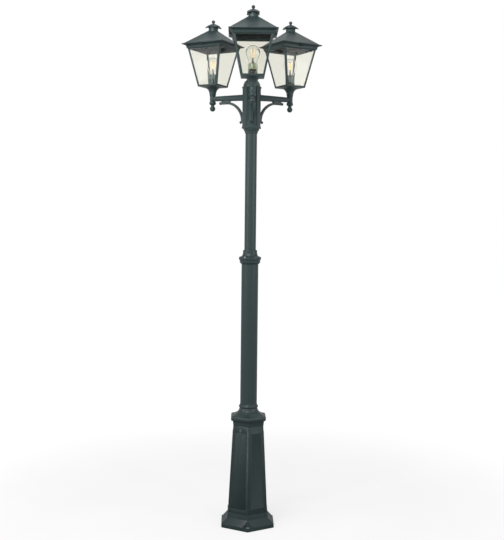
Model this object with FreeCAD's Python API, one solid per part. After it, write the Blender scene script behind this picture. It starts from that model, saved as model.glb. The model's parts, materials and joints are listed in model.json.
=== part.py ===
"""Triple head lamp post: three square lanterns on arms about a hexagonal hub, on a stepped pole and a base.

Millimetres, +Z up. The origin is the middle of the base's underside, and the front arm points along -Y.
"""
import FreeCAD
import Part
import math
import os
from math import cos, radians, sin, sqrt, tan

Vector = FreeCAD.Vector
UP = Vector(0, 0, 1)

# --- clearances --------------------------------------------------------------------------------------
seat_gap = 0.3          # between pieces that move apart
glass_gap = 0.2         # round each pane in its frame
tube_fit = 0.1          # between a tube and its socket
pin_fit = 0.06          # between a turning pin and its bore
door_gap = 0.6          # round the access door

# --- base, a hexagon with a corner to the front: radii are to its corners ----------------------------
foot_radius = 131.6
foot_edge = 16.0
foot_slope_height = 24.0 # of the sloping facets
plinth_radius = 101.0
plinth_height = 22.0
anchor_circle = 220.0
anchor_hole = 14.5
anchor_count = 3
notch_width = 49.0      # of an anchor notch, at the foot's edge
notch_floor = 12.0
pedestal_foot_radius = 97.0
pedestal_head_radius = 75.6
pedestal_height = 375.0
pedestal_wall = 6.0
panel_low = 20.0        # panel frame and door, up from the pedestal's foot
panel_head = 29.0       # from its top up to the pedestal's head
panel_low_half = 37.0
panel_high_half = 23.0
panel_bead = 2.6
panel_relief = 1.3

# --- access door -------------------------------------------------------------------------------------
door_angle = -120.0      # direction that the door faces
door_thickness = 5.0
door_low_half = 36.0
door_high_half = 27.0
door_pin_radius = 1.5
door_pin_length = 3.5
lock_tab_radius = 9.5
lock_rise = 13.0        # lock's centre above the door's shoulder
lock_flange_radius = 8.0
lock_flange_height = 2.4
lock_barrel_radius = 5.5
lock_cam_length = 17.0
lock_cam_width = 8.0
lock_cam_thickness = 2.5
lock_key_size = 5.5
hood_bead = 1.8
hood_relief = 2.2
hood_margin = 0.4       # between the door's gap and the hood

# --- wiring box inside the base ----------------------------------------------------------------------
terminal_angle = 60.0
terminal_width = 56.0
terminal_depth = 34.0
terminal_height = 96.0
terminal_rise = 150.0
terminal_lid = 6.0
terminal_rim = 1.5      # of the lid past the box

# --- pedestal cap ------------------------------------------------------------------------------------
cap_neck_height = 21.0
cap_neck_radius = 79.0
cap_neck_flare = 1.5    # low on the neck
cap_neck_step = 1.0     # under the bead
cap_bead_height = 20.5
cap_bead_radius = 88.5
cap_sweep_radius = 82.0
cap_sweep_height = 30.5
cap_sweep_fullness = 1.4
cap_collar_radius = 39.6
cap_collar_height = 17.5
cap_ring_bead = 4.2     # radius of the bead round the collar
cap_ring_inset = 1.2    # of the bead's middle from the collar's face
cap_ring_rise = 7.0
cap_ring_edge = 3.0     # plain edge under and over the bead
cap_socket_depth = 60.0

# --- poles and the collar between them ---------------------------------------------------------------
lower_pole_radius = 37.0
lower_pole_wall = 3.0
lower_pole_show = 615.5
upper_pole_radius = 25.4
upper_pole_wall = 3.0
upper_pole_show = 512.0
collar_radius = 49.0
collar_low_radius = 45.2
collar_low_height = 18.5
collar_high_height = 15.5
collar_bell_height = 28.0
collar_bell_low = 36.0
collar_bell_high = 30.6
collar_lap = 20.0       # of the collar over the lower pole
collar_foot_lip = 1.6   # of its foot past the lower pole
collar_bead = 4.0       # radius of its lower bead
collar_round = 3.0      # radius of its shoulder
collar_chamfer = 1.5
collar_flange = 4.0     # of the shoulder round the bell's foot
spacer_height = 54.0
screw_radius = 3.0
screw_recess_radius = 4.6
screw_recess_depth = 2.2
screw_directions = (-120.0, 0.0, 120.0)

# --- hub, a hexagon with flats to the arms -----------------------------------------------------------
hub_cup_height = 21.0
hub_cup_radius = 27.6
hub_radius = 41.2
hub_lip_radius = 42.2
hub_lip_height = 9.0
hub_height = 177.0
hub_ring_height = 7.0
hub_ring_radius = 42.8
hub_chamfer = 1.5
hub_cup_lip = 4.0       # upright rim of the cup
hub_cup_sweep = 9.5     # radius of its hollow sweep
hub_wall = 6.5
hub_socket_depth = 40.0
hub_dome_radius = 38.0
hub_knob_radius = 4.0
groove_width = 3.4
groove_depth = 4.5

# --- arms --------------------------------------------------------------------------------------------
front_angle = -90.0     # direction of the front arm
arm_reach = 200.5       # from the pole's axis to a lantern's
arm_level = 151.5       # top of the arms above the hub's foot
arm_root_height = 26.5
arm_root_width = 20.0
arm_tip_height = 21.0
arm_tip_width = 16.5
arm_flare = 3.5
arm_flare_length = 9.0
arm_boss_radius = 12.6
spigot_radius = 8.0
spigot_length = 14.0
nut_across_flats = 24.0
nut_height = 5.5

# --- scroll brackets under the arms ------------------------------------------------------------------
scroll_radius = 84.5
scroll_bar = 10.4
scroll_width = 13.0
scroll_edge = 1.6
scroll_centre_reach = 130.0
scroll_tail = 26.0
scroll_ball_radius = 6.5
scroll_foot_ball_radius = 6.0
scroll_pad_length = 46.0
scroll_foot_height = 34.0
scroll_drop = 4.0       # of the bar's top below the arm
scroll_toe = 7.0        # of its foot below the quarter circle

# --- drop finials under the lanterns -----------------------------------------------------------------
drop_bulge_radius = 15.0
drop_bulge_height = 16.0
drop_neck_radius = 7.6
drop_neck_height = 8.0
drop_ball_radius = 12.3

# --- lantern body: halves are from its axis to a flat side -------------------------------------------
stem_height = 11.5
horn_radius = 32.0
stem_radius = 15.0
tray_half = 48.8
tray_floor = 3.0
rail_height = 7.0
body_height = 164.0
body_head_half = 82.0
bar_leg = 8.5
bar_thickness = 2.0
glass_thickness = 3.0
cornice_half = 95.0
cornice_inner_half = 75.0
cornice_foot_height = 4.0
cornice_band_height = 6.5
cornice_band_half = 86.6
cornice_cove_radius = 7.4
cornice_step = 0.6      # between its mouldings
cornice_edge = 2.0      # plain edge over the cove

# --- lantern roof ------------------------------------------------------------------------------------
eave_half = 102.5
eave_thickness = 4.0
eave_inner_half = 84.0
roof_half = 97.0
roof_height = 60.0
roof_wall = 4.0
vent_radius = 21.0
vent_height = 23.0
vent_wall = 3.5
cap_half = 26.2
cap_brim = 1.8
cap_edge = 3.5          # thickness at its corners
cap_droop = 6.5         # of its corners below its middle
cap_lap = 3.0           # of the vent cap over the vent
cap_dome_height = 13.0
cap_top_half = 6.0
finial_ball_radius = 7.6
finial_neck_radius = 3.4
finial_neck_height = 2.4
finial_stud_length = 8.0
finial_stud_radius = 2.5

# --- hinge and catch under the eaves -----------------------------------------------------------------
knuckle_radius = 4.2
knuckle_length = 8.0
hinge_inset = 0.6       # of the pin's axis from the cornice's edge
hinge_pin_radius = 1.5
catch_tongue = 1.2
catch_slot_depth = 3.5  # into the band

# --- lampholder and lamp -----------------------------------------------------------------------------
holder_radius = 16.5
holder_height = 29.0
holder_foot_lip = 1.0
holder_edge = 1.5
holder_shell_wall = 1.0
holder_shell_height = 20.0
holder_seat = 22.0      # floor of its socket above the tray
sleeve_radius = 20.0
sleeve_wall = 2.0
sleeve_height = 52.0
lamp_cap_radius = 13.2
lamp_cap_length = 26.0
lamp_contact_radius = 4.5
lamp_contact_height = 2.4
socket_gap = 0.4
globe_radius = 30.0
globe_rise = 48.0       # its centre above the lamp cap
globe_wall = 1.0
globe_neck_radius = 13.0
lamp_stem_radius = 5.0
lamp_stem_height = 26.0
filament_height = 38.0
filament_spread = 6.0
filament_width = 1.6
filament_count = 4
filament_disc = 1.2

# --- levels worked out from the sizes above ----------------------------------------------------------
plinth_z = foot_edge + foot_slope_height
pedestal_z = plinth_z + plinth_height
cap_z = pedestal_z + pedestal_height
cap_bead_z = cap_z + cap_neck_height
cap_sweep_z = cap_bead_z + cap_bead_height
cap_collar_z = cap_sweep_z + cap_sweep_height
cap_top_z = cap_collar_z + cap_collar_height
collar_z = cap_top_z + lower_pole_show
collar_mid_z = collar_z + collar_low_height
collar_bell_z = collar_mid_z + collar_high_height
collar_top_z = collar_bell_z + collar_bell_height
hub_cup_z = collar_top_z + upper_pole_show
hub_z = hub_cup_z + hub_cup_height
hub_ring_z = hub_z + hub_height
hub_top_z = hub_ring_z + hub_ring_height
arm_top_z = hub_z + arm_level
arm_tip_z = arm_top_z - arm_tip_height
stem_top_z = arm_top_z + stem_height
tray_z = stem_top_z + horn_radius
tray_floor_z = tray_z + tray_floor
rail_z = tray_z + rail_height
cornice_z = tray_z + body_height
cornice_height = cornice_foot_height + cornice_band_height + cornice_cove_radius + cornice_edge
cornice_top_z = cornice_z + cornice_height
eave_z = cornice_top_z + seat_gap
roof_z = eave_z + eave_thickness
vent_z = roof_z + roof_height
vent_top_z = vent_z + vent_height
vent_cap_z = vent_top_z - cap_lap
hinge_z = eave_z - seat_gap - knuckle_radius
hinge_half = cornice_half - hinge_inset
lamp_z = tray_floor_z + holder_seat + seat_gap
globe_foot_z = lamp_z + lamp_contact_height + lamp_cap_length
globe_z = globe_foot_z + globe_rise

arm_directions = {"front": front_angle, "right": front_angle + 120, "left": front_angle + 240}
panel_height = pedestal_height - panel_low - panel_head
hub_flat = hub_radius * cos(radians(30))
body_slope = (body_head_half - tray_half) / body_height
pedestal_flat = pedestal_foot_radius * cos(radians(30))
pedestal_lean = math.degrees(math.atan(
    (pedestal_foot_radius - pedestal_head_radius) * cos(radians(30)) / pedestal_height))
hexagon_corner_front = -90.0


# --- ways of making solids ---------------------------------------------------------------------------

def polygon(sides, radius, z, turn):
    """Corners of a level regular polygon; turn is the direction of the first."""
    directions = [radians(turn + 360 * i / sides) for i in range(sides)]
    return [Vector(radius * cos(a), radius * sin(a), z) for a in directions]


def flat_face(*corners):
    return Part.Face(Part.makePolygon(list(corners) + [corners[0]]))


def flat_sided(*sections):
    """Solid with flat sides through sections, each a list of as many corners whose edges stay parallel."""
    faces = [flat_face(*sections[0]), flat_face(*sections[-1])]
    for low, high in zip(sections, sections[1:]):
        for i in range(len(low)):
            faces.append(flat_face(low[i - 1], low[i], high[i], high[i - 1]))
    solid = Part.Solid(Part.Shell(faces))
    if solid.Volume < 0:
        solid.reverse()
    return solid


def stack(sides, turn, rings):
    """Solid through level regular polygons, from (corner radius, z) pairs."""
    return flat_sided(*[polygon(sides, radius, z, turn) for radius, z in rings])


def hexagon(rings, turn=hexagon_corner_front):
    return stack(6, turn, rings)


def square(rings):
    """Solid through level squares, from (half side, z) pairs."""
    return stack(4, 45.0, [(half * sqrt(2), z) for half, z in rings])


def outline(start, *steps):
    """Closed face in the XZ plane: a pair is a line to it, and two pairs are an arc through the first."""
    edges = []
    here = Vector(start[0], 0, start[1])
    for step in steps + (start,):
        if isinstance(step[0], tuple):
            middle, end = [Vector(x, 0, z) for x, z in step]
            edges.append(Part.Arc(here, middle, end).toShape())
        else:
            end = Vector(step[0], 0, step[1])
            if end.distanceToPoint(here) > 1e-6:
                edges.append(Part.LineSegment(here, end).toShape())
        here = end
    return Part.Face(Part.Wire(edges))


def lathe(start, *steps):
    """Solid of revolution about Z from an outline of (radius, z) steps."""
    return outline(start, *steps).revolve(Vector(), UP, 360)


def arc(centre, radius, start, end):
    """Middle and end of an arc, as a step of an outline; angles are in degrees from the radial direction."""
    points = [(centre[0] + radius * cos(radians(a)), centre[1] + radius * sin(radians(a)))
              for a in ((start + end) / 2, end)]
    return tuple(points)


def rod(radius, start, end):
    """Round bar between two points."""
    along = end.sub(start)
    return Part.makeCylinder(radius, along.Length, start, along)


def tube(radius, wall, low, high):
    return rod(radius, UP * low, UP * high).cut(rod(radius - wall, UP * low, UP * high))


def block(x0, x1, y0, y1, z0, z1):
    return Part.makeBox(x1 - x0, y1 - y0, z1 - z0, Vector(x0, y0, z0))


def moved(shape, x=0.0, y=0.0, z=0.0):
    copy = shape.copy()
    copy.translate(Vector(x, y, z))
    return copy


def turned(shape, angle):
    copy = shape.copy()
    copy.rotate(Vector(), UP, angle)
    return copy


def tidy(shape):
    """One clean solid from a fused shape."""
    return shape.removeSplitter()


def prism_y(face, width):
    """Solid from an outline in the XZ plane, as thick as width about it."""
    return moved(face, y=-width / 2).extrude(Vector(0, width, 0))


def on_pedestal(shape, facing):
    """Place what is drawn on a level face at the origin (X across, Y outward, Z up) on a pedestal side."""
    copy = shape.copy()
    copy.rotate(Vector(), Vector(1, 0, 0), pedestal_lean)
    copy.translate(Vector(0, pedestal_flat, pedestal_z))
    return turned(copy, facing - 90)


# --- base --------------------------------------------------------------------------------------------

def anchor_notch():
    """Space over one anchor: a level floor with a hole, between upright walls that meet at the plinth."""
    half = notch_width / 2
    edge = foot_radius - half * tan(radians(30))
    beyond = 1.5
    reach = plinth_radius + (edge - plinth_radius) * beyond
    corners = [Vector(plinth_radius, 0, notch_floor), Vector(reach, half * beyond, notch_floor),
               Vector(foot_radius * beyond, half * beyond, notch_floor),
               Vector(foot_radius * beyond, -half * beyond, notch_floor),
               Vector(reach, -half * beyond, notch_floor)]
    over = flat_face(*corners).extrude(UP * (plinth_z - notch_floor))
    centre = Vector(anchor_circle / 2, 0, 0)
    return over.fuse(rod(anchor_hole / 2, centre, centre + UP * plinth_z))


def base_flange():
    foot = hexagon([(foot_radius, 0), (foot_radius, foot_edge), (plinth_radius, plinth_z)])
    foot = foot.fuse(hexagon([(plinth_radius, plinth_z), (plinth_radius, pedestal_z)]))
    inner = pedestal_foot_radius - pedestal_wall / cos(radians(30))
    foot = foot.cut(hexagon([(inner, 0), (inner, pedestal_z)]))
    for i in range(anchor_count):
        foot = foot.cut(turned(anchor_notch(), hexagon_corner_front + 360 * i / anchor_count))
    return tidy(foot)


def panel_frame():
    """Raised bead round one side of the pedestal."""
    def sheet(inset, low, high):
        corners = [(-panel_low_half + inset, panel_low + inset),
                   (panel_low_half - inset, panel_low + inset),
                   (panel_high_half - inset, panel_low + panel_height - inset),
                   (-panel_high_half + inset, panel_low + panel_height - inset)]
        return moved(outline(*corners), y=low).extrude(Vector(0, high - low, 0))
    sunk = panel_relief / 2
    return sheet(0, -sunk, panel_relief).cut(sheet(panel_bead, -2 * sunk, 2 * panel_relief))


def door_sheet(grow, low, high):
    """Outline of the door with its round tab at the top, made larger by grow."""
    shoulder = panel_low + panel_height
    centre = shoulder + lock_rise
    tab = lock_tab_radius + grow
    face = outline((-door_low_half - grow, panel_low - grow), (door_low_half + grow, panel_low - grow),
                   (door_high_half + grow, shoulder + grow), (tab, shoulder + grow), (tab, centre),
                   ((0, centre + tab), (-tab, centre)), (-tab, shoulder + grow),
                   (-door_high_half - grow, shoulder + grow))
    return moved(face, y=low).extrude(Vector(0, high - low, 0))


def door_pivot(radius, extra):
    """Pin along the door's foot, which reaches extra past each end of the door."""
    height = panel_low + door_thickness / 2
    reach = Vector(door_low_half + door_pin_length + extra, 0, 0)
    centre = Vector(0, -door_thickness / 2, height)
    return rod(radius, centre - reach, centre + reach)


def lock_hood():
    """Small arched bead over the lock."""
    inner = lock_tab_radius + door_gap + hood_margin
    outer = inner + hood_bead
    z = panel_low + panel_height + lock_rise
    face = outline((inner, z), (outer, z), ((0, z + outer), (-outer, z)),
                   (-inner, z), ((0, z + inner), (inner, z)))
    sunk = hood_relief / 2
    return moved(face, y=-sunk).extrude(Vector(0, sunk + hood_relief, 0))


def pedestal():
    wall = pedestal_wall / cos(radians(30))
    shell = hexagon([(pedestal_foot_radius, pedestal_z), (pedestal_head_radius, cap_z)])
    shell = shell.cut(hexagon([(pedestal_foot_radius - wall, pedestal_z),
                               (pedestal_head_radius - wall, cap_z)]))
    for i in range(6):
        facing = door_angle + 60 * i
        if i == 0:
            shell = shell.cut(on_pedestal(door_sheet(door_gap, -2 * pedestal_wall, pedestal_wall), facing))
            shell = shell.cut(on_pedestal(door_pivot(door_pin_radius + pin_fit, door_gap), facing))
            shell = shell.fuse(on_pedestal(lock_hood(), facing))
        else:
            shell = shell.fuse(on_pedestal(panel_frame(), facing))
    return tidy(shell)


def access_door():
    rounding = door_thickness / 2
    door = door_sheet(0, -door_thickness, 0)
    foot = panel_low + rounding
    half = door_low_half
    door = door.cut(block(-half, half, -door_thickness, 0, panel_low, foot))
    centre = Vector(0, -rounding, foot)
    reach = Vector(half - rounding * 0.2, 0, 0)
    door = door.fuse(rod(rounding, centre - reach, centre + reach))
    door = door.fuse(door_pivot(door_pin_radius, 0))
    lock = Vector(0, 0, panel_low + panel_height + lock_rise)
    door = door.cut(rod(lock_barrel_radius + pin_fit, lock - Vector(0, 2 * door_thickness, 0),
                        lock + Vector(0, door_thickness, 0)))
    return on_pedestal(tidy(door), door_angle)


def door_lock():
    """Cam lock: a round head outside, a barrel through the door, and a cam that hangs clear of the wall."""
    z = panel_low + panel_height + lock_rise
    centre = Vector(0, 0, z)
    out = Vector(0, 1, 0)
    cam_front = -pedestal_wall - seat_gap
    cam_back = cam_front - lock_cam_thickness
    lock = rod(lock_flange_radius, centre + out * seat_gap, centre + out * (seat_gap + lock_flange_height))
    lock = lock.fuse(rod(lock_barrel_radius, centre + out * cam_back, centre + out * (seat_gap + 0.5)))
    key = stack(3, 90.0, [(lock_key_size, 0), (lock_key_size, lock_flange_height)])
    key.rotate(Vector(), Vector(1, 0, 0), -90)
    lock = lock.cut(moved(key, y=seat_gap + lock_flange_height / 2, z=z))
    half = lock_cam_width / 2
    lock = lock.fuse(block(-half, half, cam_back, cam_front, z - lock_cam_length, z))
    return on_pedestal(tidy(lock), door_angle)


def terminal_box():
    """Wiring box on the inside of the pedestal, opposite the door."""
    half = terminal_width / 2
    back = -pedestal_wall
    front = back - terminal_depth
    box = block(-half, half, front, back, terminal_rise, terminal_rise + terminal_height)
    rim = terminal_rim
    lid = block(-half - rim, half + rim, front - terminal_lid, front, terminal_rise - rim,
                terminal_rise + terminal_height + rim)
    return on_pedestal(tidy(box.fuse(lid)), terminal_angle)


def pedestal_cap():
    """Moulded hexagonal cap that sweeps up to a round collar on the lower pole."""
    bead_middle = cap_bead_z + cap_bead_height / 2
    bead_rings = [(cap_bead_radius - (cap_bead_radius - cap_sweep_radius) * (1 - cos(radians(a))),
                   bead_middle + cap_bead_height / 2 * sin(radians(a))) for a in (-90, -50, -20, 20, 50, 90)]
    neck = hexagon([(pedestal_head_radius, cap_z),
                    (pedestal_head_radius + cap_neck_flare, cap_z + cap_neck_height * 0.35),
                    (cap_neck_radius - cap_neck_step, cap_z + cap_neck_height * 0.8),
                    (cap_neck_radius, cap_bead_z)])
    cap = neck.fuse(hexagon(bead_rings))
    cap = cap.fuse(sweep_to_round())
    collar = cap_collar_radius
    edge = cap_ring_edge
    ring = lathe((0, cap_collar_z - 1), (collar, cap_collar_z - 1), (collar, cap_collar_z + edge),
                 arc((collar - cap_ring_inset, cap_collar_z + cap_ring_rise), cap_ring_bead, -60, 60),
                 (collar - 0.2 * edge, cap_top_z - edge), (collar - 0.7 * edge, cap_top_z), (0, cap_top_z))
    cap = cap.fuse(ring)
    bore = lower_pole_radius + tube_fit
    return tidy(cap.cut(rod(bore, UP * (cap_z - 1), UP * (cap_top_z + 1))))


def round_cornered(flat, corner, z):
    """Level hexagon wire with corners rounded to the given radius; flat is from its centre to a side."""
    edges = []
    side = (flat - corner) * tan(radians(30))
    for i in range(6):
        facing = hexagon_corner_front + 30 + 60 * i
        out = Vector(cos(radians(facing)), sin(radians(facing)), 0)
        across = Vector(-out.y, out.x, 0)
        turn = facing + 30
        pivot = Vector(cos(radians(turn)), sin(radians(turn)), 0) * ((flat - corner) / cos(radians(30)))
        start = out * flat - across * side + UP * z
        end = out * flat + across * side + UP * z
        edges.append(Part.LineSegment(start, end).toShape())
        ahead = facing + 60
        middle = pivot + Vector(cos(radians(turn)), sin(radians(turn)), 0) * corner + UP * z
        following = pivot + Vector(cos(radians(ahead)), sin(radians(ahead)), 0) * corner + UP * z
        edges.append(Part.Arc(end, middle, following).toShape())
    return Part.Wire(edges)


def sweep_to_round():
    """Hollow sweep from the cap's hexagon to the collar's circle."""
    wires = []
    flat_low = cap_sweep_radius * cos(radians(30))
    steps = 6
    for i in range(steps + 1):
        angle = radians(90 * (1 - i / steps))
        flat = flat_low - (flat_low - cap_collar_radius) * cos(angle) ** cap_sweep_fullness
        share = (1 - sin(angle)) ** 0.6
        corner = (0.05 + 0.94 * share) * flat
        wires.append(round_cornered(flat, corner, cap_collar_z - cap_sweep_height * sin(angle)))
    return Part.makeLoft(wires, True, True)


# --- poles -------------------------------------------------------------------------------------------

def lower_pole():
    return tube(lower_pole_radius, lower_pole_wall, cap_top_z - cap_socket_depth, collar_z + collar_lap)


def upper_pole():
    low = collar_z + collar_lap - spacer_height
    return tube(upper_pole_radius, upper_pole_wall, low, hub_cup_z + hub_socket_depth)


def pole_spacer():
    """Ring that centres the upper pole in the lower one."""
    high = collar_z + collar_lap
    inner = upper_pole_radius + tube_fit
    outer = lower_pole_radius - lower_pole_wall - tube_fit
    return tube(outer, outer - inner, high - spacer_height, high)


def screw_line(direction, reach):
    """Point at a set screw's height, at a reach from the pole's axis."""
    return turned(Part.Vertex(reach, 0, collar_bell_z - collar_high_height * 0.25), direction).Point


def collar_profile():
    """Turned outline of the collar, from its foot on the lower pole up to its bell on the upper one."""
    low = collar_low_radius
    high = collar_radius
    chamfer = collar_chamfer
    bell = collar_bell_high
    return lathe((0, collar_z), (lower_pole_radius + collar_foot_lip, collar_z),
                 (low - chamfer, collar_z + 6.0),
                 arc((low - collar_bead, collar_z + 9.5), collar_bead, -40, 0),
                 (low, collar_mid_z - 1.0), (high - chamfer + 0.1, collar_mid_z + 1.0),
                 arc((high - collar_round, collar_mid_z + 4.0), collar_round, -40, 0),
                 (high, collar_bell_z - 3 * chamfer), (high - collar_round, collar_bell_z - 2.0),
                 (collar_bell_low + collar_flange, collar_bell_z), (collar_bell_low, collar_bell_z + 2.0),
                 ((bell + 1.4, collar_bell_z + 11.0), (bell + 0.8, collar_top_z - 4 * chamfer)),
                 (bell, collar_top_z - chamfer), (bell - chamfer, collar_top_z), (0, collar_top_z))


def mid_collar():
    shape = collar_profile()
    shape = shape.cut(rod(lower_pole_radius + tube_fit, UP * (collar_z - 1), UP * (collar_z + collar_lap)))
    shape = shape.cut(rod(upper_pole_radius + tube_fit, UP * collar_z, UP * (collar_top_z + 1)))
    beyond = 2 * collar_radius
    for direction in screw_directions:
        shape = shape.cut(rod(screw_radius, screw_line(direction, upper_pole_radius),
                              screw_line(direction, beyond)))
        shape = shape.cut(rod(screw_recess_radius, screw_line(direction, collar_radius - screw_recess_depth),
                              screw_line(direction, beyond)))
    return tidy(shape)


def collar_screws():
    """Set screws that clamp the upper pole."""
    heads = [rod(screw_radius, screw_line(direction, upper_pole_radius + tube_fit),
                 screw_line(direction, collar_radius - screw_recess_depth))
             for direction in screw_directions]
    return Part.makeCompound(heads)


# --- hub ---------------------------------------------------------------------------------------------

def hub_grooves():
    """Upright grooves down the hub's six corners."""
    half = groove_width / 2
    groove = block(hub_radius - groove_depth, hub_radius + groove_depth, -half, half,
                   hub_z + hub_lip_height, hub_ring_z)
    return Part.makeCompound([turned(groove, 60 * i) for i in range(6)])


def hub_cup():
    """Round foot of the hub, which sweeps out to its hexagon."""
    lip_z = hub_cup_z + hub_cup_lip
    return lathe((0, hub_cup_z), (hub_cup_radius, hub_cup_z), (hub_cup_radius + 0.3 * hub_cup_lip, lip_z),
                 arc((hub_flat + hub_chamfer, lip_z - 1.0), hub_cup_sweep, 170, 120),
                 (hub_flat, hub_z), (0, hub_z))


def hub():
    lip_z = hub_z + hub_lip_height
    ring = hub_ring_radius
    body = hexagon([(hub_lip_radius, hub_z), (hub_lip_radius, lip_z - hub_chamfer), (hub_radius, lip_z)], 0)
    body = body.fuse(hexagon([(hub_radius, hub_z), (hub_radius, hub_ring_z)], 0))
    body = body.fuse(hexagon([(hub_radius, hub_ring_z - hub_chamfer), (ring, hub_ring_z),
                              (ring, hub_top_z - hub_chamfer), (ring - hub_chamfer, hub_top_z)], 0))
    body = body.fuse(hub_cup())
    bore = hub_radius - hub_wall / cos(radians(30))
    socket_z = hub_cup_z + hub_socket_depth
    body = body.cut(hexagon([(bore, socket_z), (bore, hub_top_z)], 0))
    body = body.cut(rod(upper_pole_radius + tube_fit, UP * (hub_cup_z - 1), UP * socket_z))
    body = body.cut(hub_grooves())
    middle = arm_top_z - arm_root_height / 2
    hole = rod(spigot_radius, Vector(0, 0, middle), Vector(hub_radius, 0, middle))
    for direction in arm_directions.values():
        body = body.cut(turned(hole, direction))
    return tidy(body)


def hub_cap():
    """Faceted dome with a small knob that closes the hub."""
    rings = [(hub_dome_radius * cos(radians(a)), hub_top_z + hub_dome_radius * sin(radians(a)))
             for a in (0, 15, 30, 45, 60, 75)]
    dome = hexagon(rings, 0)
    top = hub_top_z + hub_dome_radius * sin(radians(75))
    knob = lathe((0, top - 1), (hub_knob_radius, top - 1), (hub_knob_radius, top + 1),
                 arc((0, top + 1), hub_knob_radius, 0, 89), (0, top + 1 + hub_knob_radius))
    return tidy(dome.fuse(knob))


def arm_nuts():
    """Nuts on the arms' spigots, inside the hub."""
    seat = (hub_radius - hub_wall / cos(radians(30))) * cos(radians(30))
    middle = arm_top_z - arm_root_height / 2
    corner = nut_across_flats / 2 / cos(radians(30))
    nut = stack(6, 0.0, [(corner, 0), (corner, nut_height)])
    nut = nut.cut(rod(spigot_radius, Vector(0, 0, -1), Vector(0, 0, nut_height + 1)))
    nut.rotate(Vector(), Vector(0, 1, 0), 90)
    nut = moved(nut, x=seat - nut_height, z=middle)
    return Part.makeCompound([turned(nut, direction) for direction in arm_directions.values()])


# --- one arm with its bracket and drop, drawn along +X -----------------------------------------------

def arm_section(x, height, width):
    """Upright six-sided section with a ridge at half height and a level top."""
    top = arm_top_z
    corners = [(width / 3, top), (width / 2, top - height / 2), (width / 3, top - height),
               (-width / 3, top - height), (-width / 2, top - height / 2), (-width / 3, top)]
    points = [Vector(x, y, z) for y, z in corners]
    return Part.makePolygon(points + points[:1])


def arm():
    wide = arm_section(hub_flat, arm_root_height + 2 * arm_flare, arm_root_width + 2 * arm_flare)
    wide.translate(UP * arm_flare)
    sections = [wide, arm_section(hub_flat + arm_flare_length, arm_root_height, arm_root_width),
                arm_section(arm_reach - arm_boss_radius, arm_tip_height, arm_tip_width),
                arm_section(arm_reach, arm_tip_height, arm_tip_width)]
    shape = Part.makeLoft(sections, True, True)
    boss = rod(arm_boss_radius, Vector(arm_reach, 0, arm_tip_z), Vector(arm_reach, 0, arm_top_z))
    middle = arm_top_z - arm_root_height / 2
    spigot = rod(spigot_radius, Vector(hub_flat - spigot_length, 0, middle), Vector(hub_flat, 0, middle))
    return tidy(shape.fuse(boss).fuse(spigot))


def scroll_bar_outline(centre, reach):
    """Quarter circle from the foot up to a straight tail of the given reach past the centre."""
    x, z = centre
    inner = scroll_radius - scroll_bar / 2
    outer = scroll_radius + scroll_bar / 2
    return outline((x - outer, z), arc(centre, outer, 180, 90), (x + reach, z + outer),
                   (x + reach, z + inner), (x, z + inner), arc(centre, inner, 90, 180))


def scroll_bracket():
    """Quarter circle of flat bar with a ball at each end, and a pad where it meets the arm and the hub."""
    x = scroll_centre_reach
    half = scroll_bar / 2
    z = arm_underside(x) - scroll_radius - half - scroll_drop
    bar = prism_y(scroll_bar_outline((x, z), scroll_tail), scroll_width)
    long_edges = [edge for edge in bar.Edges if abs(edge.tangentAt(edge.FirstParameter).y) < 0.5]
    bar = bar.makeChamfer(scroll_edge, long_edges)
    tail = x + scroll_tail
    pad_end = tail - 3.0
    pad_start = pad_end - scroll_pad_length
    pad_z = z + scroll_radius
    pad = outline((pad_start, arm_underside(pad_start)), (pad_end, arm_underside(pad_end)),
                  (pad_end - scroll_drop, pad_z), (pad_start + scroll_bar, pad_z))
    bar = bar.fuse(prism_y(pad, scroll_width))
    foot = x - scroll_radius - half
    foot_z = z - scroll_toe
    wide = scroll_width / 2
    bar = bar.fuse(block(hub_flat, foot + half, -wide, wide, foot_z, foot_z + scroll_foot_height))
    bar = bar.fuse(block(foot, foot + scroll_bar, -wide, wide, foot_z, z + 1.0))
    bar = bar.fuse(Part.makeSphere(scroll_ball_radius, Vector(tail + 3.0, 0, pad_z)))
    ball = Vector(foot + scroll_bar + 3.0, 0, foot_z + scroll_toe / 3)
    return tidy(bar.fuse(Part.makeSphere(scroll_foot_ball_radius, ball)))


def arm_underside(x):
    """Height of the arm's underside at x."""
    root = hub_flat + arm_flare_length
    share = (x - root) / (arm_reach - arm_boss_radius - root)
    return arm_top_z - arm_root_height - (arm_tip_height - arm_root_height) * share


def drop_finial():
    """Turned drop that closes the underside of the arm's boss."""
    top = arm_tip_z
    bulge = drop_bulge_radius
    low = top - drop_bulge_height
    ball_z = low - drop_neck_height - drop_ball_radius * 0.75
    shape = lathe((0, top), (arm_boss_radius - 0.6, top), (arm_boss_radius - 0.6, top - 1.5),
                  ((bulge, top - drop_bulge_height / 2), (arm_boss_radius - 2.4, low)),
                  (drop_neck_radius, low - 1.0), (drop_neck_radius, ball_z), (0, ball_z))
    shape = shape.fuse(Part.makeSphere(drop_ball_radius, UP * ball_z))
    return moved(tidy(shape), x=arm_reach)


# --- one lantern, drawn on its own axis --------------------------------------------------------------

def body_half(z):
    """Half width of the lantern's tapering body at a height."""
    return tray_half + body_slope * (z - tray_z)


def lantern_tray():
    """Square tray on a trumpet-shaped horn and stem."""
    tray = square([(tray_half, tray_z), (body_half(rail_z), rail_z)])
    inner = bar_thickness
    tray = tray.cut(square([(body_half(tray_floor_z) - inner, tray_floor_z),
                            (body_half(rail_z) - inner, rail_z)]))
    mouth = stem_radius + horn_radius
    horn = lathe((0, arm_top_z), (arm_boss_radius, arm_top_z), (stem_radius, stem_top_z),
                 arc((mouth, stem_top_z), horn_radius, 180, 92),
                 (mouth - 1.0, tray_z + 1.0), (0, tray_z + 1.0))
    return tidy(tray.fuse(horn))


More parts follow.
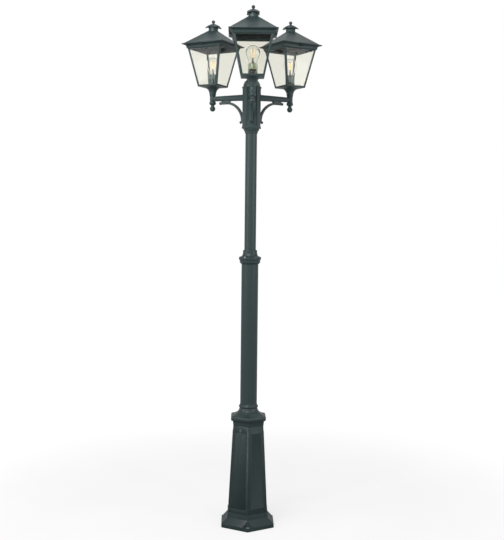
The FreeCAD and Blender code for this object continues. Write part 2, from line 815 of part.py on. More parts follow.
def corner_bars():
    """Four leaning angle bars that hold the panes."""
    def angle_section(z):
        outer = body_half(z)
        inner = outer - bar_thickness
        leg = outer - bar_leg
        corners = [(outer, outer), (leg, outer), (leg, inner), (inner, inner), (inner, leg), (outer, leg)]
        return [Vector(x, y, z) for x, y in corners]
    bar = flat_sided(angle_section(rail_z), angle_section(cornice_z))
    return Part.makeCompound([turned(bar, 90 * i) for i in range(4)])


def glass_panes():
    """Four leaning panes behind the bars and the tray's rail."""
    def pane_section(z):
        outer = body_half(z) - bar_thickness - glass_gap
        inner = outer - glass_thickness
        half = inner - glass_gap
        corners = [(inner, -half), (outer, -half), (outer, half), (inner, half)]
        return [Vector(x, y, z) for x, y in corners]
    pane = flat_sided(pane_section(tray_floor_z + glass_gap), pane_section(cornice_z - glass_gap))
    return Part.makeCompound([turned(pane, 90 * i) for i in range(4)])


def knuckles(side, radius, starts, length):
    """Short barrels along X under one eave; side is +1 at the hinge and -1 at the catch."""
    y = side * hinge_half
    return [rod(radius, Vector(x, y, hinge_z), Vector(x + length, y, hinge_z)) for x in starts]


def cornice_ring():
    """Square ring with a band, a cove over it and a plain edge."""
    band = cornice_band_half
    band_z = cornice_z + cornice_foot_height
    cove_z = band_z + cornice_band_height
    radius = cornice_cove_radius
    cove_half = band + radius + cornice_step
    cove = [(cove_half - radius * cos(radians(a)), cove_z + radius * sin(radians(a)))
            for a in (0, 30, 60, 90)]
    foot = [(body_head_half, cornice_z), (body_head_half + 1.0, band_z - 1.0),
            (band - cornice_step, band_z), (band, band_z + 1.0)]
    edge = [(cornice_half, cove_z + radius + 0.4), (cornice_half, cornice_top_z)]
    ring = square(foot + cove + edge)
    return ring.cut(square([(cornice_inner_half, cornice_z), (cornice_inner_half, cornice_top_z)]))


def catch_jaws(ring):
    """The ring with two jaws at its middle and a slot between them for the lid's tongue."""
    low = hinge_z - knuckle_radius
    slot = catch_tongue / 2 + seat_gap
    reach = slot + knuckle_length
    band = cornice_band_half
    for jaw in knuckles(-1, knuckle_radius, (slot, -reach), knuckle_length):
        ring = ring.fuse(jaw)
    ring = ring.fuse(block(-reach, reach, -hinge_half, 1 - band, low, hinge_z))
    return ring.cut(block(-slot, slot, -eave_half, catch_slot_depth - band, low - 1, cornice_top_z))


def hinge_barrel(ring):
    """The ring with its barrel of the hinge, and room beside it for the lid's barrel to turn."""
    gap = seat_gap
    low = hinge_z - knuckle_radius
    for barrel in knuckles(1, knuckle_radius, (gap / 2,), knuckle_length):
        ring = ring.fuse(barrel)
    web = block(gap / 2, knuckle_length + gap / 2, cornice_band_half - 1, hinge_half, low, hinge_z)
    ring = ring.fuse(web)
    sweep = knuckle_radius + 2 * gap
    end = -knuckle_length - 1.5 * gap
    ring = ring.cut(rod(sweep, Vector(end, hinge_half, hinge_z), Vector(-gap / 2, hinge_half, hinge_z)))
    ring = ring.cut(block(end, -gap / 2, hinge_half - sweep, eave_half, hinge_z, cornice_top_z))
    return ring.cut(rod(hinge_pin_radius, Vector(-knuckle_length, hinge_half, hinge_z),
                        Vector(2 * knuckle_length, hinge_half, hinge_z)))


def cornice():
    """Moulded ring under the eaves, with the fixed hinge barrel on one side and the catch opposite."""
    return tidy(hinge_barrel(catch_jaws(cornice_ring())))


def hinge_pin():
    return rod(hinge_pin_radius, Vector(-knuckle_length - seat_gap / 2, hinge_half, hinge_z),
               Vector(knuckle_length + seat_gap / 2, hinge_half, hinge_z))


def roof():
    """Hipped lid with a round vent, hinged along one eave."""
    rise = roof_height / (roof_half - vent_radius)
    tip_half = vent_radius / sqrt(2)
    tip_z = roof_z + (roof_half - tip_half) * rise
    shape = square([(eave_half, eave_z), (eave_half, roof_z)])
    shape = shape.fuse(square([(roof_half, roof_z), (tip_half, tip_z)]))
    shape = shape.fuse(rod(vent_radius, UP * (roof_z + roof_height / 2), UP * vent_top_z))
    inner_half = roof_half - roof_wall
    inner_tip = (vent_radius - vent_wall) / sqrt(2)
    step_z = roof_z + (inner_half - eave_inner_half) * rise
    hollow = square([(eave_inner_half, eave_z), (eave_inner_half, step_z),
                     (inner_tip, roof_z + (inner_half - inner_tip) * rise)])
    hollow = hollow.fuse(rod(vent_radius - vent_wall, UP * (vent_z - roof_wall), UP * vent_top_z))
    shape = shape.cut(hollow)
    gap = seat_gap
    for barrel in knuckles(1, knuckle_radius, (-knuckle_length - gap / 2,), knuckle_length):
        shape = shape.fuse(barrel)
    web = knuckle_radius * 0.7
    shape = shape.fuse(block(-knuckle_length - gap / 2, -gap / 2, hinge_half - web, hinge_half + web,
                             hinge_z, eave_z))
    shape = shape.cut(rod(hinge_pin_radius + pin_fit, Vector(-2 * knuckle_length, hinge_half, hinge_z),
                          Vector(0, hinge_half, hinge_z)))
    shape = shape.fuse(block(-catch_tongue / 2, catch_tongue / 2, -hinge_half - knuckle_radius,
                             -hinge_half + knuckle_radius, hinge_z - knuckle_radius, eave_z))
    return tidy(shape)


def vent_cap():
    """Low dome over the vent, trimmed square so that its corners droop."""
    low = vent_cap_z
    top = low + cap_brim + cap_dome_height
    corner = cap_half * sqrt(2)
    corner_z = low - cap_droop
    shoulder = (cap_half * 0.84, low + 0.52 * (top - low))
    dome = lathe((0, low), (vent_radius + cap_lap, low), (corner, corner_z), (corner, corner_z + cap_edge),
                 (shoulder, (cap_top_half, top)), (0, top))
    cap = dome.common(block(-cap_half, cap_half, -cap_half, cap_half, corner_z - 1, top + 1))
    cap = cap.cut(rod(vent_radius + tube_fit, UP * (low - 1), UP * vent_top_z))
    return tidy(cap.cut(rod(finial_stud_radius, UP * vent_top_z, UP * (top + 1))))


def roof_finial():
    low = vent_cap_z + cap_brim + cap_dome_height
    neck_z = low + finial_neck_height
    ball_z = neck_z + finial_ball_radius * 0.85
    shape = lathe((0, low - finial_stud_length), (finial_stud_radius, low - finial_stud_length),
                  (finial_stud_radius, low), (cap_top_half - 0.6, low), (cap_top_half - 1.4, low + 1.4),
                  (finial_neck_radius, neck_z - 1.0), (finial_neck_radius, ball_z), (0, ball_z))
    return tidy(shape.fuse(Part.makeSphere(finial_ball_radius, UP * ball_z)))


def lampholder():
    """Core with a screw shell that grips the lamp's cap."""
    low = tray_floor_z
    foot = holder_radius + holder_foot_lip
    core_z = low + holder_height
    seat_z = low + holder_seat
    bore = lamp_cap_radius + socket_gap
    shell = bore + holder_shell_wall
    shell_z = core_z + holder_shell_height
    return lathe((0, low), (foot, low), (foot, low + 3.0), (holder_radius, low + 4.0),
                 (holder_radius, core_z - holder_edge), (holder_radius - holder_edge, core_z),
                 (shell, core_z), (shell, shell_z), (bore, shell_z), (bore, seat_z + 3.0),
                 (lamp_contact_radius + 4.0, seat_z), (0, seat_z))


def holder_sleeve():
    return tube(sleeve_radius, sleeve_wall, tray_floor_z, tray_floor_z + sleeve_height)


def lamp_cap():
    """Screw cap of the lamp with its end contact."""
    low = lamp_z
    thread_z = low + lamp_contact_height
    radius = lamp_cap_radius
    return lathe((0, low), (lamp_contact_radius, low), (lamp_contact_radius + 2.5, thread_z),
                 (radius - 2.0, thread_z + 1.0), (radius, thread_z + 4.0),
                 (radius, globe_foot_z - 2.0), (globe_neck_radius, globe_foot_z), (0, globe_foot_z))


def globe_outline(radius, neck):
    """Where a straight neck side touches the globe: its radius and height."""
    distance = sqrt(neck ** 2 + globe_rise ** 2)
    angle = math.atan2(-globe_rise, neck) + math.acos(radius / distance)
    return radius * cos(angle), globe_z + radius * sin(angle), math.degrees(angle)


def lamp_globe():
    """Clear glass globe, hollow, with its neck on the lamp's cap."""
    x, z, angle = globe_outline(globe_radius, globe_neck_radius)
    inner = globe_radius - globe_wall
    ix, iz, inner_angle = globe_outline(inner, globe_neck_radius - globe_wall)
    return lathe((globe_neck_radius, globe_foot_z), (x, z), arc((0, globe_z), globe_radius, angle, 90),
                 (0, globe_z + inner), arc((0, globe_z), inner, 90, inner_angle),
                 (globe_neck_radius - globe_wall, globe_foot_z))


def lamp_filament():
    """Glass stem with a mast and a ring of leaning filament strips."""
    low = globe_foot_z
    foot = low + lamp_stem_height
    top = foot + filament_height
    shape = lathe((0, low), (lamp_stem_radius, low), (lamp_stem_radius * 0.7, low + lamp_stem_height * 0.5),
                  (filament_disc * 1.6, foot - 2.0), (filament_disc * 1.6, foot + 1.0), (0, foot + 1.0))
    thin = filament_width / 2
    shape = shape.fuse(block(-thin / 2, thin / 2, -thin / 2, thin / 2, foot, top))
    for i in range(filament_count):
        strip = flat_sided(strip_section(thin * 1.5, foot), strip_section(filament_spread, top))
        shape = shape.fuse(turned(strip, 45 + 360 * i / filament_count))
        spoke = block(0, filament_spread, -thin / 2, thin / 2, top - 1.0, top)
        shape = shape.fuse(turned(spoke, 45 + 360 * i / filament_count))
    return tidy(shape)


def strip_section(reach, z):
    """Level section of one filament strip."""
    half = filament_width / 2
    thin = filament_width / 4
    corners = [(reach - thin, -half), (reach + thin, -half), (reach + thin, half), (reach - thin, half)]
    return [Vector(x, y, z) for x, y in corners]


# --- the whole post ----------------------------------------------------------------------------------

def save(name, shape):
    shape.exportStep("parts/" + name + ".step")


def main():
    os.makedirs("parts", exist_ok=True)
    post_pieces = (base_flange, pedestal, access_door, door_lock, terminal_box, pedestal_cap, lower_pole,
                   mid_collar, collar_screws, pole_spacer, upper_pole, hub, hub_cap, arm_nuts)
    arm_pieces = (arm, scroll_bracket, drop_finial)
    lantern_pieces = (lantern_tray, corner_bars, glass_panes, cornice, roof, vent_cap, roof_finial,
                      lampholder, holder_sleeve, lamp_cap, lamp_globe, lamp_filament)
    for piece in post_pieces:
        save(piece.__name__, piece())
    for piece in arm_pieces + lantern_pieces:
        shape = piece()
        if piece in lantern_pieces:
            shape = moved(shape, x=arm_reach)
        for place, direction in arm_directions.items():
            save(piece.__name__ + "_" + place, turned(shape, direction))
    pins = [turned(moved(hinge_pin(), x=arm_reach), direction) for direction in arm_directions.values()]
    save("hinge_pins", Part.makeCompound(pins))


main()
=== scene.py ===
import json
import math
from contextlib import contextmanager
import bpy
from mathutils import Matrix, Vector


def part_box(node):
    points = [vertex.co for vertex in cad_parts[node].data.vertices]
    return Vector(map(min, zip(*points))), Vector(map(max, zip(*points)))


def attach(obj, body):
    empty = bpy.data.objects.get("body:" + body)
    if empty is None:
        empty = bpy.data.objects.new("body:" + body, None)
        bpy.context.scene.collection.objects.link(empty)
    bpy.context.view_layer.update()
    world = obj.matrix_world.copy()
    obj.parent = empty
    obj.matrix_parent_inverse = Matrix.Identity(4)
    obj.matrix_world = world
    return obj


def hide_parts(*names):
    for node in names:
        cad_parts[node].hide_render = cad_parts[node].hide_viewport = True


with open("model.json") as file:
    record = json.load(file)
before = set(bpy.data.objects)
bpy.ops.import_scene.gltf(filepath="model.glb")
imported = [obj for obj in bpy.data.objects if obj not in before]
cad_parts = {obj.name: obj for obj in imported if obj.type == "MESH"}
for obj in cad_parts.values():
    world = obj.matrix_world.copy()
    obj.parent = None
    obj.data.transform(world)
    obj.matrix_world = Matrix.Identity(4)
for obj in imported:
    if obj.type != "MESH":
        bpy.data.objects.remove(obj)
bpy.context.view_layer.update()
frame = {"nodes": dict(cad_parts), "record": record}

# Metres throughout. The front arm points along -Y, the other two back to the right and the left.
MM = 0.001
PLACES = ("front", "right", "left")
UPRIGHT = (0.0, 0.0, 1.0)
EVEN = (1.0, 1.0, 1.0)
ROUND = 48                  # faces round a turned piece
WELD = 0.001 * MM           # corners closer than this are one

# --- camera, as far away and as high as the photograph's ---------------------------------------------
CAMERA_REACH = 3.998        # from the pole's axis
CAMERA_HEIGHT = 1.3307
CAMERA_TURN = 0.0165        # radians round the post, to the left
CAMERA_PITCH = 0.0121       # radians down
CAMERA_ROLL = 0.0104
CAMERA_LENS = 60.57         # millimetres on a 36 mm sensor
CAMERA_SHIFT = (0.0032, -0.07)

# --- light -------------------------------------------------------------------------------------------
LIGHTS_AIM = (0.0, 0.0, 2.0)
FLOOR_SIZE = 60.0
FLOOR_DROP = 0.5 * MM       # under the foot
FLOOR_CLOUDS = 300 * MM
FLOOR_GREYS = (0.38, 0.40)  # near the post
FLOOR_FAR = 0.85
FLOOR_PALER = (0.8, 3.0)    # distances from the post between which the grey goes over into the far one
SEEN_REACH = (0.5, 6.0)     # distances between which the seen floor's glow goes from low to high
SEEN_GLOW = (0.71, 0.82)
MIRRORED_REACH = (1.2, 2.5)
MIRRORED_GLOW = (0.0, 0.30)
ROOM_LIGHT = (0.32, 0.20)   # from the sides and from overhead
ROOM_MIRRORED = (0.62, 0.28)

# --- finishes ----------------------------------------------------------------------------------------
PAINT = (0.036, 0.061, 0.062)
PAINT_DEEP = (0.031, 0.054, 0.055)
# Paler paint: a painted highlight along the rounded edges, and the lock's paler paint.
PAINT_HIGHLIGHT = (0.105, 0.137, 0.132)
# Painted shade: darker paint for the faces inside the lanterns, near black round the hinges and catches.
PAINT_INSIDE_SHADE = (0.010, 0.034, 0.035)
HINGE_SHADE = (0.006, 0.011, 0.010)
# Paler colour for specks on what faces up.
TOP_PALE = (0.150, 0.160, 0.148)
PANE_TINT = (0.900, 0.898, 0.847)
# The front lantern's panes: a darker copy of the pane glass, a painted shade.
PANE_TINT_FRONT_SHADED = (0.868, 0.866, 0.808)
# Painted shade on the panes' top and bottom edges.
PANE_EDGE_SHADE = (0.03, 0.05, 0.045)
LAMP_TINT = (0.985, 0.985, 0.965)
STEM_TINT = (0.26, 0.25, 0.19)
SLEEVE_TINT = (0.80, 0.845, 0.785)
# The side lanterns' sleeves: a darker, clouded copy of the sleeve glass, a painted shade.
SLEEVE_SHADED = (0.065, 0.112, 0.108)
HOLDER_BLACK = (0.006, 0.007, 0.007)
CAP_METAL = (0.46, 0.49, 0.41)
CAP_DULL = (0.40, 0.43, 0.34)
# Bright metal painted into the anchor holes, a painted light.
HOLE_LIGHT_METAL = (0.86, 0.87, 0.88)
PHOSPHOR = (0.92, 0.46, 0.10)
PHOSPHOR_BRIGHT = (1.0, 0.80, 0.46)
NICKEL = (0.30, 0.25, 0.20)
ZINC = (0.62, 0.63, 0.62)
ZINC_DULL = (0.44, 0.45, 0.43)
NICKEL_DULL = (0.30, 0.28, 0.26)
HOLE_LIGHT_METAL_DULL = (0.66, 0.67, 0.68)
BOX_GREY = (0.30, 0.31, 0.31)

PAINT_CLOUDS = 90 * MM      # sizes of the paint's patterns
PAINT_SPECKS = 7 * MM
PAINT_GRAIN = 1.6 * MM
CAST_SWELL = 16 * MM
METAL_PATCHES = 5 * MM
METAL_GRAIN = 0.8 * MM
PLASTIC_RUBS = 12 * MM
PLASTIC_GRAIN = 0.7 * MM
FINE_GRAIN = 0.03 * MM      # its depth
UPRIGHT_STREAKS = (1.0, 1.0, 0.12)
TUBE_STREAKS = (1.0, 1.0, 0.15)
SOFT = (0.3, 0.7)           # a cloudy pattern's values that become 0 and 1
PAINT_GLOSS = (0.34, 0.42)  # roughness, least and most
STREAK_GLOSS = (0.22, 0.34)
GLASS_SMEARS = 22 * MM
GLASS_STREAKS = 6 * MM
CLEAR = 1.0                 # transmission
CLOUDED = 0.12
PANE_REFRACTION = 1.23      # less than glass has, for soft mirrored lights
GROUND_EDGE = 0.8           # how much rougher a pane's cut edges are
STRIP_BLOTCHES = 2.5 * MM
# A painted glow on the filament strips: the lamp is not lit.
STRIP_PAINTED_GLOW = 0.9


# --- shader nodes ------------------------------------------------------------------------------------

class Value:
    """A node's output that takes part in sums as a number does."""

    def __init__(self, finish, socket):
        self.finish = finish
        self.socket = socket

    def sum(self, operation, first, second):
        return self.finish.node("ShaderNodeMath", {"operation": operation}, {0: first, 1: second})

    def __add__(self, other):
        return self.sum("ADD", self, other)

    def __radd__(self, other):
        return self.sum("ADD", other, self)

    def __sub__(self, other):
        return self.sum("SUBTRACT", self, other)

    def __rsub__(self, other):
        return self.sum("SUBTRACT", other, self)

    def __mul__(self, other):
        return self.sum("MULTIPLY", self, other)

    def __rmul__(self, other):
        return self.sum("MULTIPLY", other, self)


class Finish:
    """A material, or the world, and the nodes in it."""

    def __init__(self, owner):
        self.owner = owner
        owner.use_nodes = True
        self.tree = owner.node_tree
        self.shader = self.tree.nodes.get("Principled BSDF")

    def feed(self, socket, value):
        if isinstance(value, Value):
            self.tree.links.new(value.socket, socket)
        elif socket.type == "RGBA" and len(value) == 3:
            socket.default_value = (*value, 1.0)
        else:
            socket.default_value = value

    def node(self, kind, settings=None, inputs=None, output=0):
        """Adds a node with its settings, then the values or links of its sockets, and gives one output."""
        made = self.tree.nodes.new(kind)
        for name, setting in (settings or {}).items():
            setattr(made, name, setting)
        for name, value in (inputs or {}).items():
            self.feed(made.inputs[name], value)
        return Value(self, made.outputs[output])

    def set(self, **inputs):
        """Values or links of the shader's own sockets, their names with _ for each space."""
        for name, value in inputs.items():
            self.feed(self.shader.inputs[name.replace("_", " ")], value)

    def place(self):
        return self.node("ShaderNodeTexCoord", output="Object")

    def noise(self, size, detail=2.0, stretch=EVEN):
        """Cloudy pattern from 0 to 1 whose lumps are about as large as size."""
        at = self.node("ShaderNodeMapping", inputs={"Vector": self.place(), "Scale": stretch})
        return self.node("ShaderNodeTexNoise", {"noise_dimensions": "3D"},
                         {"Vector": at, "Scale": 1.0 / size, "Detail": detail, "Roughness": 0.55})

    def between(self, value, low, high, start=0.0, end=1.0):
        """The value, stretched so that low becomes start and high becomes end."""
        limits = {"From Min": low, "From Max": high, "To Min": start, "To Max": end}
        return self.node("ShaderNodeMapRange", {"interpolation_type": "SMOOTHSTEP"}, {"Value": value, **limits})

    def mix(self, factor, first, second):
        return self.node("ShaderNodeMix", {"data_type": "RGBA"}, {0: factor, 6: first, 7: second}, output=2)

    def upward(self):
        """How far the surface faces up: 1 on top, 0 on a side, -1 underneath."""
        normal = self.node("ShaderNodeTexCoord", output="Normal")
        return self.node("ShaderNodeSeparateXYZ", inputs={0: normal}, output=2)

    def bump(self, height, depth, under=None):
        """Relief as deep as depth, over another relief."""
        inputs = {"Height": height, "Distance": depth, "Strength": 1.0}
        if under:
            inputs["Normal"] = under
        return self.node("ShaderNodeBump", inputs=inputs)


def new_finish(name):
    return Finish(bpy.data.materials.new(name))


def grey(level):
    return (level, level, level)


def painted(name, light, deep, top_paling, grain, swell, stretch=EVEN):
    """Satin powder coat: cloudy colour, paler and rougher in specks on what faces up, fine grain, and the
    casting's swell under it.
    """
    paint = new_finish(name)
    clouds = paint.noise(PAINT_CLOUDS, 3.0, stretch)
    specks = paint.noise(PAINT_SPECKS, 4.0)
    colour = paint.mix(paint.between(clouds, *SOFT), deep, light)
    level = paint.between(paint.upward(), 0.25, 1.0)
    paler_on_top = level * paint.between(specks, 0.25, 0.8, 0.3, 1.0) * top_paling
    relief = paint.bump(paint.noise(CAST_SWELL), swell)
    paint.set(
        Base_Color=paint.mix(paler_on_top, colour, TOP_PALE),
        Roughness=paint.between(specks, 0.2, 0.8, *PAINT_GLOSS) + paler_on_top * 0.3,
        Specular_IOR_Level=0.42,
        Normal=paint.bump(paint.noise(PAINT_GRAIN), grain, relief),
    )
    return paint


def clear_glass(name, tint, smear, refraction, edge=None):
    """Clear glass whose faint smears catch the light; a pane's top and bottom edges are painted dark, a painted
    shade, and dull.
    """
    glass = new_finish(name)
    smears = glass.noise(GLASS_SMEARS, 5.0)
    colour = glass.mix(glass.between(smears, 0.3, 0.75), tint, [0.985 * part for part in tint])
    rough = glass.between(smears, 0.5, 0.9, 0.0, smear)
    if edge:
        # The top and bottom edges are painted dark and metal-like, a painted shade, and made rough.
        upward = glass.upward()
        shaded_edges = glass.between(upward * upward, 0.2, 0.5)
        colour = glass.mix(shaded_edges, colour, edge)
        rough = rough + shaded_edges * GROUND_EDGE
        glass.set(Metallic=shaded_edges)
    glass.set(
        Base_Color=colour,
        Roughness=rough,
        Transmission_Weight=CLEAR,
        IOR=refraction,
    )
    return glass


def shaded_clouded_glass(name, colour):
    """Clouded grey-green glass in upright streaks, a darker copy of the sleeve glass: a painted shade."""
    glass = new_finish(name)
    streaks = glass.between(glass.noise(GLASS_STREAKS, 3.0, UPRIGHT_STREAKS), *SOFT)
    glass.set(
        Base_Color=glass.mix(streaks, colour, [1.5 * part for part in colour]),
        Roughness=glass.between(streaks, 0.0, 1.0, *STREAK_GLOSS),
        Transmission_Weight=CLOUDED,
        IOR=1.5,
    )
    return glass


def bare_metal(name, colour, dull, rough):
    """Metal with a dulled skin in patches."""
    metal = new_finish(name)
    patches = metal.between(metal.noise(METAL_PATCHES, 4.0), 0.35, 0.75)
    metal.set(
        Base_Color=metal.mix(patches, colour, dull),
        Metallic=1.0,
        Roughness=metal.between(metal.noise(3 * MM, 3.0), 0.2, 0.8, rough, rough + 0.14),
        Normal=metal.bump(metal.noise(METAL_GRAIN), FINE_GRAIN),
    )
    return metal


def moulded_plastic(name, colour, rough):
    """Matt moulded plastic with a fine grain and paler rubbed patches."""
    plastic = new_finish(name)
    rubbed = plastic.between(plastic.noise(PLASTIC_RUBS, 4.0), 0.45, 0.8)
    plastic.set(
        Base_Color=plastic.mix(rubbed, colour, [1.25 * part + 0.004 for part in colour]),
        Roughness=rubbed * -0.1 + rough,
        Specular_IOR_Level=0.2,
        Normal=plastic.bump(plastic.noise(PLASTIC_GRAIN), FINE_GRAIN),
    )
    return plastic


def glowing_strip(name):
    """Blotchy yellow coating of the filament strips, with a painted glow: the lamp is not lit."""
    strip = new_finish(name)
    blotch = strip.between(strip.noise(STRIP_BLOTCHES), *SOFT)
    colour = strip.mix(blotch, PHOSPHOR, PHOSPHOR_BRIGHT)
    strip.set(Base_Color=colour, Roughness=0.45, Emission_Color=colour, Emission_Strength=STRIP_PAINTED_GLOW)
    return strip


finishes = {
    "casting": painted("cast_paint", PAINT, PAINT_DEEP, 0.05, 0.035 * MM, 0.12 * MM),
    # The rounds' paler paint is a painted highlight along the edges.
    "edge": painted("cast_paint_edges", PAINT_HIGHLIGHT, PAINT, 0.05, 0.02 * MM, 0.05 * MM),
    # Painted shade inside the lanterns and round their hinges and catches.
    "inside": painted("inner_painted_shade", PAINT_INSIDE_SHADE, PAINT_INSIDE_SHADE, 0.0, 0.035 * MM, 0.12 * MM),
    "hinge": painted("hinge_painted_shade", HINGE_SHADE, PAINT_INSIDE_SHADE, 0.0, 0.035 * MM, 0.12 * MM),
    "tube": painted("tube_paint", PAINT, PAINT_DEEP, 0.05, 0.03 * MM, 0.04 * MM, TUBE_STREAKS),
    "lock": painted("lock_paint", PAINT_HIGHLIGHT, PAINT, 0.10, 0.02 * MM, 0.03 * MM),
    "pane": clear_glass("pane_glass", PANE_TINT, 0.03, PANE_REFRACTION, PANE_EDGE_SHADE),
    "pane_front": clear_glass("front_pane_glass_shaded", PANE_TINT_FRONT_SHADED, 0.03, PANE_REFRACTION, PANE_EDGE_SHADE),
    "globe": clear_glass("globe_glass", LAMP_TINT, 0.02, 1.30),
    "stem": clear_glass("stem_glass", STEM_TINT, 0.05, 1.4),
    "sleeve": clear_glass("sleeve_glass", SLEEVE_TINT, 0.10, 1.38),
    "sleeve_shaded": shaded_clouded_glass("sleeve_glass_shaded", SLEEVE_SHADED),
    "holder": moulded_plastic("holder_plastic", HOLDER_BLACK, 0.5),
    "box": moulded_plastic("box_plastic", BOX_GREY, 0.6),
    "cap_metal": bare_metal("screw_cap_metal", CAP_METAL, CAP_DULL, 0.22),
    "hole_light": bare_metal("anchor_hole_painted_light", HOLE_LIGHT_METAL, HOLE_LIGHT_METAL_DULL, 0.3),
    "wire": bare_metal("lead_wire", NICKEL, NICKEL_DULL, 0.3),
    "zinc": bare_metal("zinc_plate", ZINC, ZINC_DULL, 0.3),
    "strip": glowing_strip("filament_coating"),
}


# --- ways of modelling -------------------------------------------------------------------------------

def alone(piece):
    """Selects one piece and nothing else."""
    bpy.ops.object.select_all(action="DESELECT")
    piece.select_set(True)
    bpy.context.view_layer.objects.active = piece


@contextmanager
def editing(piece, select="VERT"):
    """Edit mode on one piece, all of it selected."""
    alone(piece)
    bpy.ops.object.mode_set(mode="EDIT")
    bpy.ops.mesh.select_mode(type=select)
    bpy.ops.mesh.select_all(action="SELECT")
    yield
    bpy.ops.object.mode_set(mode="OBJECT")


def started(name, primitive, **settings):
    """A primitive to shape further."""
    bpy.ops.object.select_all(action="DESELECT")
    primitive(**settings)
    piece = bpy.context.object
    piece.name = name
    piece.data.name = name
    return piece


def settled(piece):
    """The piece with its place, turn and scale in its mesh."""
    alone(piece)
    bpy.ops.object.transform_apply(location=True, rotation=True, scale=True)
    return piece


def smooth(piece, angle=35):
    alone(piece)
    bpy.ops.object.shade_smooth_by_angle(angle=math.radians(angle))
    return piece


def finished(piece, *names):
    """Gives the piece its finishes, one for each of its material slots."""
    piece.data.materials.clear()
    for name in names:
        piece.data.materials.append(finishes[name].owner)
    return piece


def modified(piece, kind, **settings):
    """Applies one modifier."""
    alone(piece)
    modifier = piece.modifiers.new(kind.title(), kind)
    for name, value in settings.items():
        setattr(modifier, name, value)
    bpy.ops.object.modifier_apply(modifier=modifier.name)
    return piece


def joined(name, pieces):
    bpy.ops.object.select_all(action="DESELECT")
    for piece in pieces:
        piece.select_set(True)
    bpy.context.view_layer.objects.active = pieces[0]
    bpy.ops.object.join()
    pieces[0].name = name
    pieces[0].data.name = name
    return pieces[0]


def spun(name, profile, steps=ROUND):
    """Turned piece: a line through (radius, height) points, spun about the Z axis."""
    piece = started(name, bpy.ops.mesh.primitive_plane_add, size=MM)
    with editing(piece):
        bpy.ops.mesh.merge(type="CENTER")
        here = Vector()
        for number, (radius, height) in enumerate(profile):
            there = Vector((radius, 0.0, height))
            if number:
                bpy.ops.mesh.extrude_region_move(TRANSFORM_OT_translate={"value": there - here})
            else:
                bpy.ops.transform.translate(value=there)
            here = there
        bpy.ops.mesh.select_all(action="SELECT")
        bpy.ops.mesh.spin(steps=steps, angle=2 * math.pi, center=(0, 0, 0), axis=UPRIGHT)
        bpy.ops.mesh.select_all(action="SELECT")
        bpy.ops.mesh.remove_doubles(threshold=WELD)
        bpy.ops.mesh.normals_make_consistent(inside=False)
    return piece


def wire(start, end, radius):
    """Thin round wire between two points, its ends rounded off."""
    along = end - start
    piece = started("wire", bpy.ops.mesh.primitive_cylinder_add, vertices=8, radius=radius, depth=along.length)
    with editing(piece, "EDGE"):
        bpy.ops.mesh.bevel(offset=radius * 0.3, segments=1)
    piece.matrix_world = (Matrix.Translation((start + end) / 2)
                          @ along.to_track_quat("Z", "Y").to_matrix().to_4x4())
    return settled(piece)


def lantern_axis(place):
    """Where a lantern's axis meets the ground, and the direction of its arm."""
    low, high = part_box("lamp_globe_" + place)
    centre = (low + high) / 2
    return Vector((centre.x, centre.y, 0.0)), math.atan2(centre.y, centre.x)


def on_each_lantern(model, body, node, slot, *coats):
    """Copies a piece, drawn on the Z axis with the arm along +X, to the three lanterns."""
    name = model.name
    for place in PLACES:
        axis, direction = lantern_axis(place)
        copy = bpy.data.objects.new(name + "_" + place, model.data.copy())
        bpy.context.scene.collection.objects.link(copy)
        copy.matrix_world = Matrix.Translation(axis) @ Matrix.Rotation(direction, 4, "Z")
        settled(copy)
        finished(copy, *coats)
        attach(copy, body if body == "post" else body + "_" + place)
        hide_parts(node + "_" + place)
    bpy.data.objects.remove(model)


# --- castings: the CAD pieces with their sharp edges rounded -----------------------------------------

FLAT = 0.6                  # degrees between faces that are one flat face
SHARP = 28.0                # degrees past which an edge is rounded
EDGE_SLOT = 1


def body_of(node):
    return next(name for name, nodes in frame["record"]["behaviour"]["bodies"].items() if node in nodes)


def rounded_copy(node, radius, coat, edge_coat, sharp=SHARP, rounds=2):
    """Copy of a CAD piece whose sharp edges are rounded; the rounds have a finish of their own."""
    piece = bpy.data.objects.new(node + "_rounded", frame["nodes"][node].data.copy())
    bpy.context.scene.collection.objects.link(piece)
    finished(piece, coat, edge_coat)
    with editing(piece):
        bpy.ops.mesh.customdata_custom_splitnormals_clear()
        bpy.ops.mesh.remove_doubles(threshold=2 * WELD)
        bpy.ops.mesh.dissolve_limited(angle_limit=math.radians(FLAT))
    modified(piece, "BEVEL", width=radius, segments=rounds, limit_method="ANGLE",
             angle_limit=math.radians(sharp), use_clamp_overlap=True, material=EDGE_SLOT,
             miter_outer="MITER_ARC")
    smooth(piece, 40)
    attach(piece, body_of(node))
    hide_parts(node)
    return piece


# Each casting's rounding radius in millimetres.
BASE_CASTINGS = {"base_flange": 1.6, "pedestal": 1.0, "access_door": 1.0, "pedestal_cap": 1.2,
                 "hub": 0.8, "hub_cap": 0.8, "mid_collar": 0.6}
LANTERN_CASTINGS = {"arm": 1.0, "scroll_bracket": 0.5, "lantern_tray": 0.7, "corner_bars": 0.4,
                    "cornice": 0.25, "roof": 0.4, "vent_cap": 0.4}

ANCHOR_REACH = 110 * MM
ANCHOR_RING = 9.0 * MM
ANCHOR_DIRECTIONS = (-90.0, 30.0, 150.0)
HOLE_LIGHT_SLOT, INSIDE_SLOT, HINGE_SHADE_SLOT = 2, 2, 3


def lit_anchor_holes(flange):
    """The anchor holes' walls and rims get bright bare metal, a painted light, so that the holes look bright
    instead of shaded.
    """
    flange.data.materials.append(finishes["hole_light"].owner)
    ways = [math.radians(way) for way in ANCHOR_DIRECTIONS]
    centres = [Vector((math.cos(way), math.sin(way))) * ANCHOR_REACH for way in ways]
    for face in flange.data.polygons:
        corners = [flange.data.vertices[number].co.xy for number in face.vertices]
        if any(all((corner - centre).length < ANCHOR_RING for corner in corners) for centre in centres):
            face.material_index = HOLE_LIGHT_SLOT


